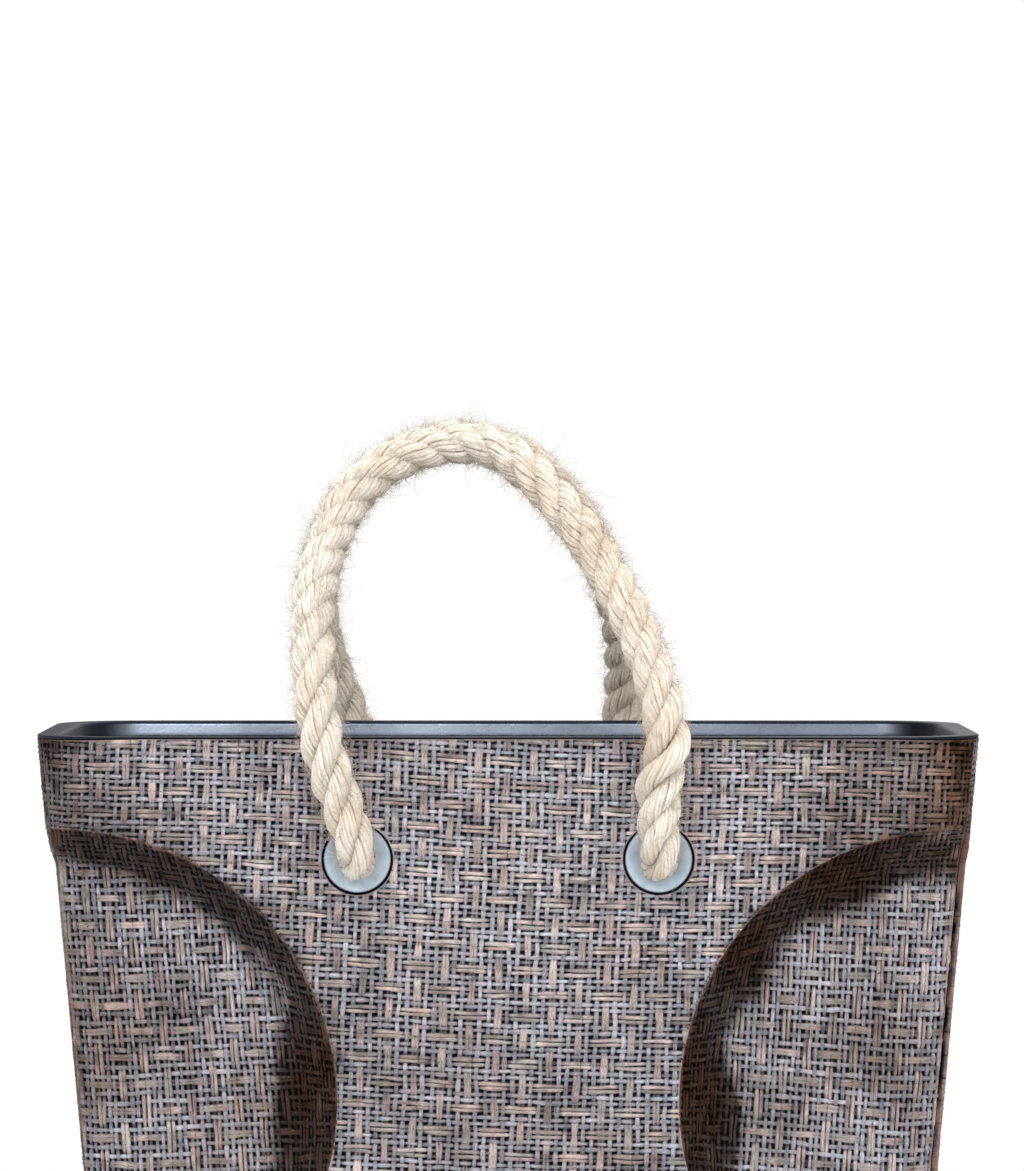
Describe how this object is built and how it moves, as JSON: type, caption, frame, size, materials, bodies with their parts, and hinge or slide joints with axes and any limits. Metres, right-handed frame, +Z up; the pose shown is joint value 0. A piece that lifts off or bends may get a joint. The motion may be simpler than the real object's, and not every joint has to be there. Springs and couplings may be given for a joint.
{
  "type": "basket",
  "caption": "Tote-shaped log basket with woven-look cloth skins over a glossy moulded tub and twisted rope handles that swing down.",
  "frame": {"origin": "middle of the underside, on the surface that the basket stands on", "axes": "+Z up, +X to the right along the long side, -Y out of the front face"},
  "size_m": [0.408, 0.224, 0.448],
  "materials": {
    "tub": "glossy blue-black, slightly wavy moulded surface",
    "weave": "matt woven yarns, tan and grey-lilac over dark crevices",
    "weave_turned": "the same cloth with its weave turned by a quarter",
    "eyelet": "satin grey-blue, dished",
    "washer": "satin grey",
    "rope": "natural jute, three strands, hairy",
    "foot": "matt dark pad"
  },
  "bodies": {
    "basket": {"liner_tub": "tub", "woven_front": "weave", "woven_back": "weave", "woven_left": "weave", "woven_right": "weave", "woven_dent_front_left": "weave_turned", "woven_dent_front_right": "weave_turned", "woven_dent_back_left": "weave_turned", "woven_dent_back_right": "weave_turned", "eyelet_front_left": "eyelet", "eyelet_front_right": "eyelet", "eyelet_back_left": "eyelet", "eyelet_back_right": "eyelet", "washer_front_left": "washer", "washer_front_right": "washer", "washer_back_left": "washer", "washer_back_right": "washer", "knot_front_left": "rope", "knot_front_right": "rope", "knot_back_left": "rope", "knot_back_right": "rope", "rope_end_front_left": "rope", "rope_end_front_right": "rope", "rope_end_back_left": "rope", "rope_end_back_right": "rope", "foot_front_left": "foot", "foot_front_right": "foot", "foot_back_left": "foot", "foot_back_right": "foot"},
    "front_handle": {"rope_front": "rope"},
    "back_handle": {"rope_back": "rope"}
  },
  "joints": [
    {"name": "front_handle_swing", "type": "hinge", "parent": "basket", "child": "front_handle", "pos_m": [0, -0.10188, 0.2585], "axis": [1, 0, 0], "range_deg": [0, 170]},
    {"name": "back_handle_swing", "type": "hinge", "parent": "basket", "child": "back_handle", "pos_m": [0, 0.10188, 0.2585], "axis": [-1, 0, 0], "range_deg": [0, 170]}
  ]
}
